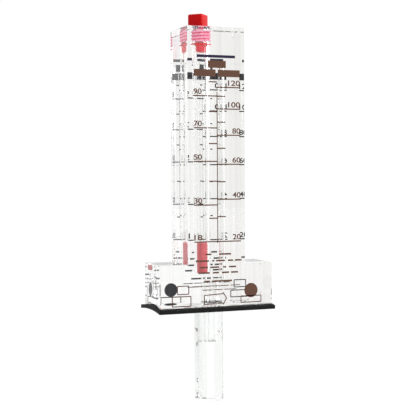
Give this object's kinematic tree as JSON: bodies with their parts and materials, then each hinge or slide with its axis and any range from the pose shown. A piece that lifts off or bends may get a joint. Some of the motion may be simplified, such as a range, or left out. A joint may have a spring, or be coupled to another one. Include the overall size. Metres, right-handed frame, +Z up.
{
  "type": "rotameter",
  "caption": "Clear acrylic saddle-mounted flow meter: float in a tapered bore, threaded red plug, rubber pad and a square pitot bar that reaches into the pipe.",
  "frame": {"origin": "middle of the saddle pad's underside, where the crown of the pipe bears, on the axis of the pitot bar", "axes": "+X along the pipe in the direction of flow, +Y away from the scale, +Z up along the float's bore"},
  "size_m": [0.0762, 0.0382, 0.2415],
  "materials": {
    "clear_acrylic": "clear cast acrylic, machined and polished",
    "black_rubber": "matt black rubber sheet",
    "red_plastic": "moulded red plastic, satin gloss",
    "red_silicone": "smooth red silicone ring",
    "red_float": "turned red plastic"
  },
  "bodies": {
    "meter": {"meter_body": "clear_acrylic", "pitot_bar": "clear_acrylic", "gallery_pin": "clear_acrylic", "saddle_gasket": "black_rubber"},
    "float": {"indicator_float": "red_float"},
    "seal": {"plug_seal": "red_silicone"},
    "plug": {"top_plug": "red_plastic"}
  },
  "joints": [
    {"name": "float_rise", "type": "slide", "parent": "meter", "child": "float", "axis": [0, 0, 1], "range_m": [0, 0.118]},
    {"name": "plug_lift", "type": "slide", "parent": "meter", "child": "seal", "axis": [0, 0, 1], "range_m": [0, 0.00879]},
    {"name": "plug_turn", "type": "hinge", "parent": "seal", "child": "plug", "pos_m": [-0.00605, 0, 0.17365], "axis": [0, 0, 1], "range_deg": [0, 1620]}
  ],
  "couplings": [
    {"joint": "plug_turn", "follows": "plug_lift", "rad_per_m": 3215.8}
  ]
}
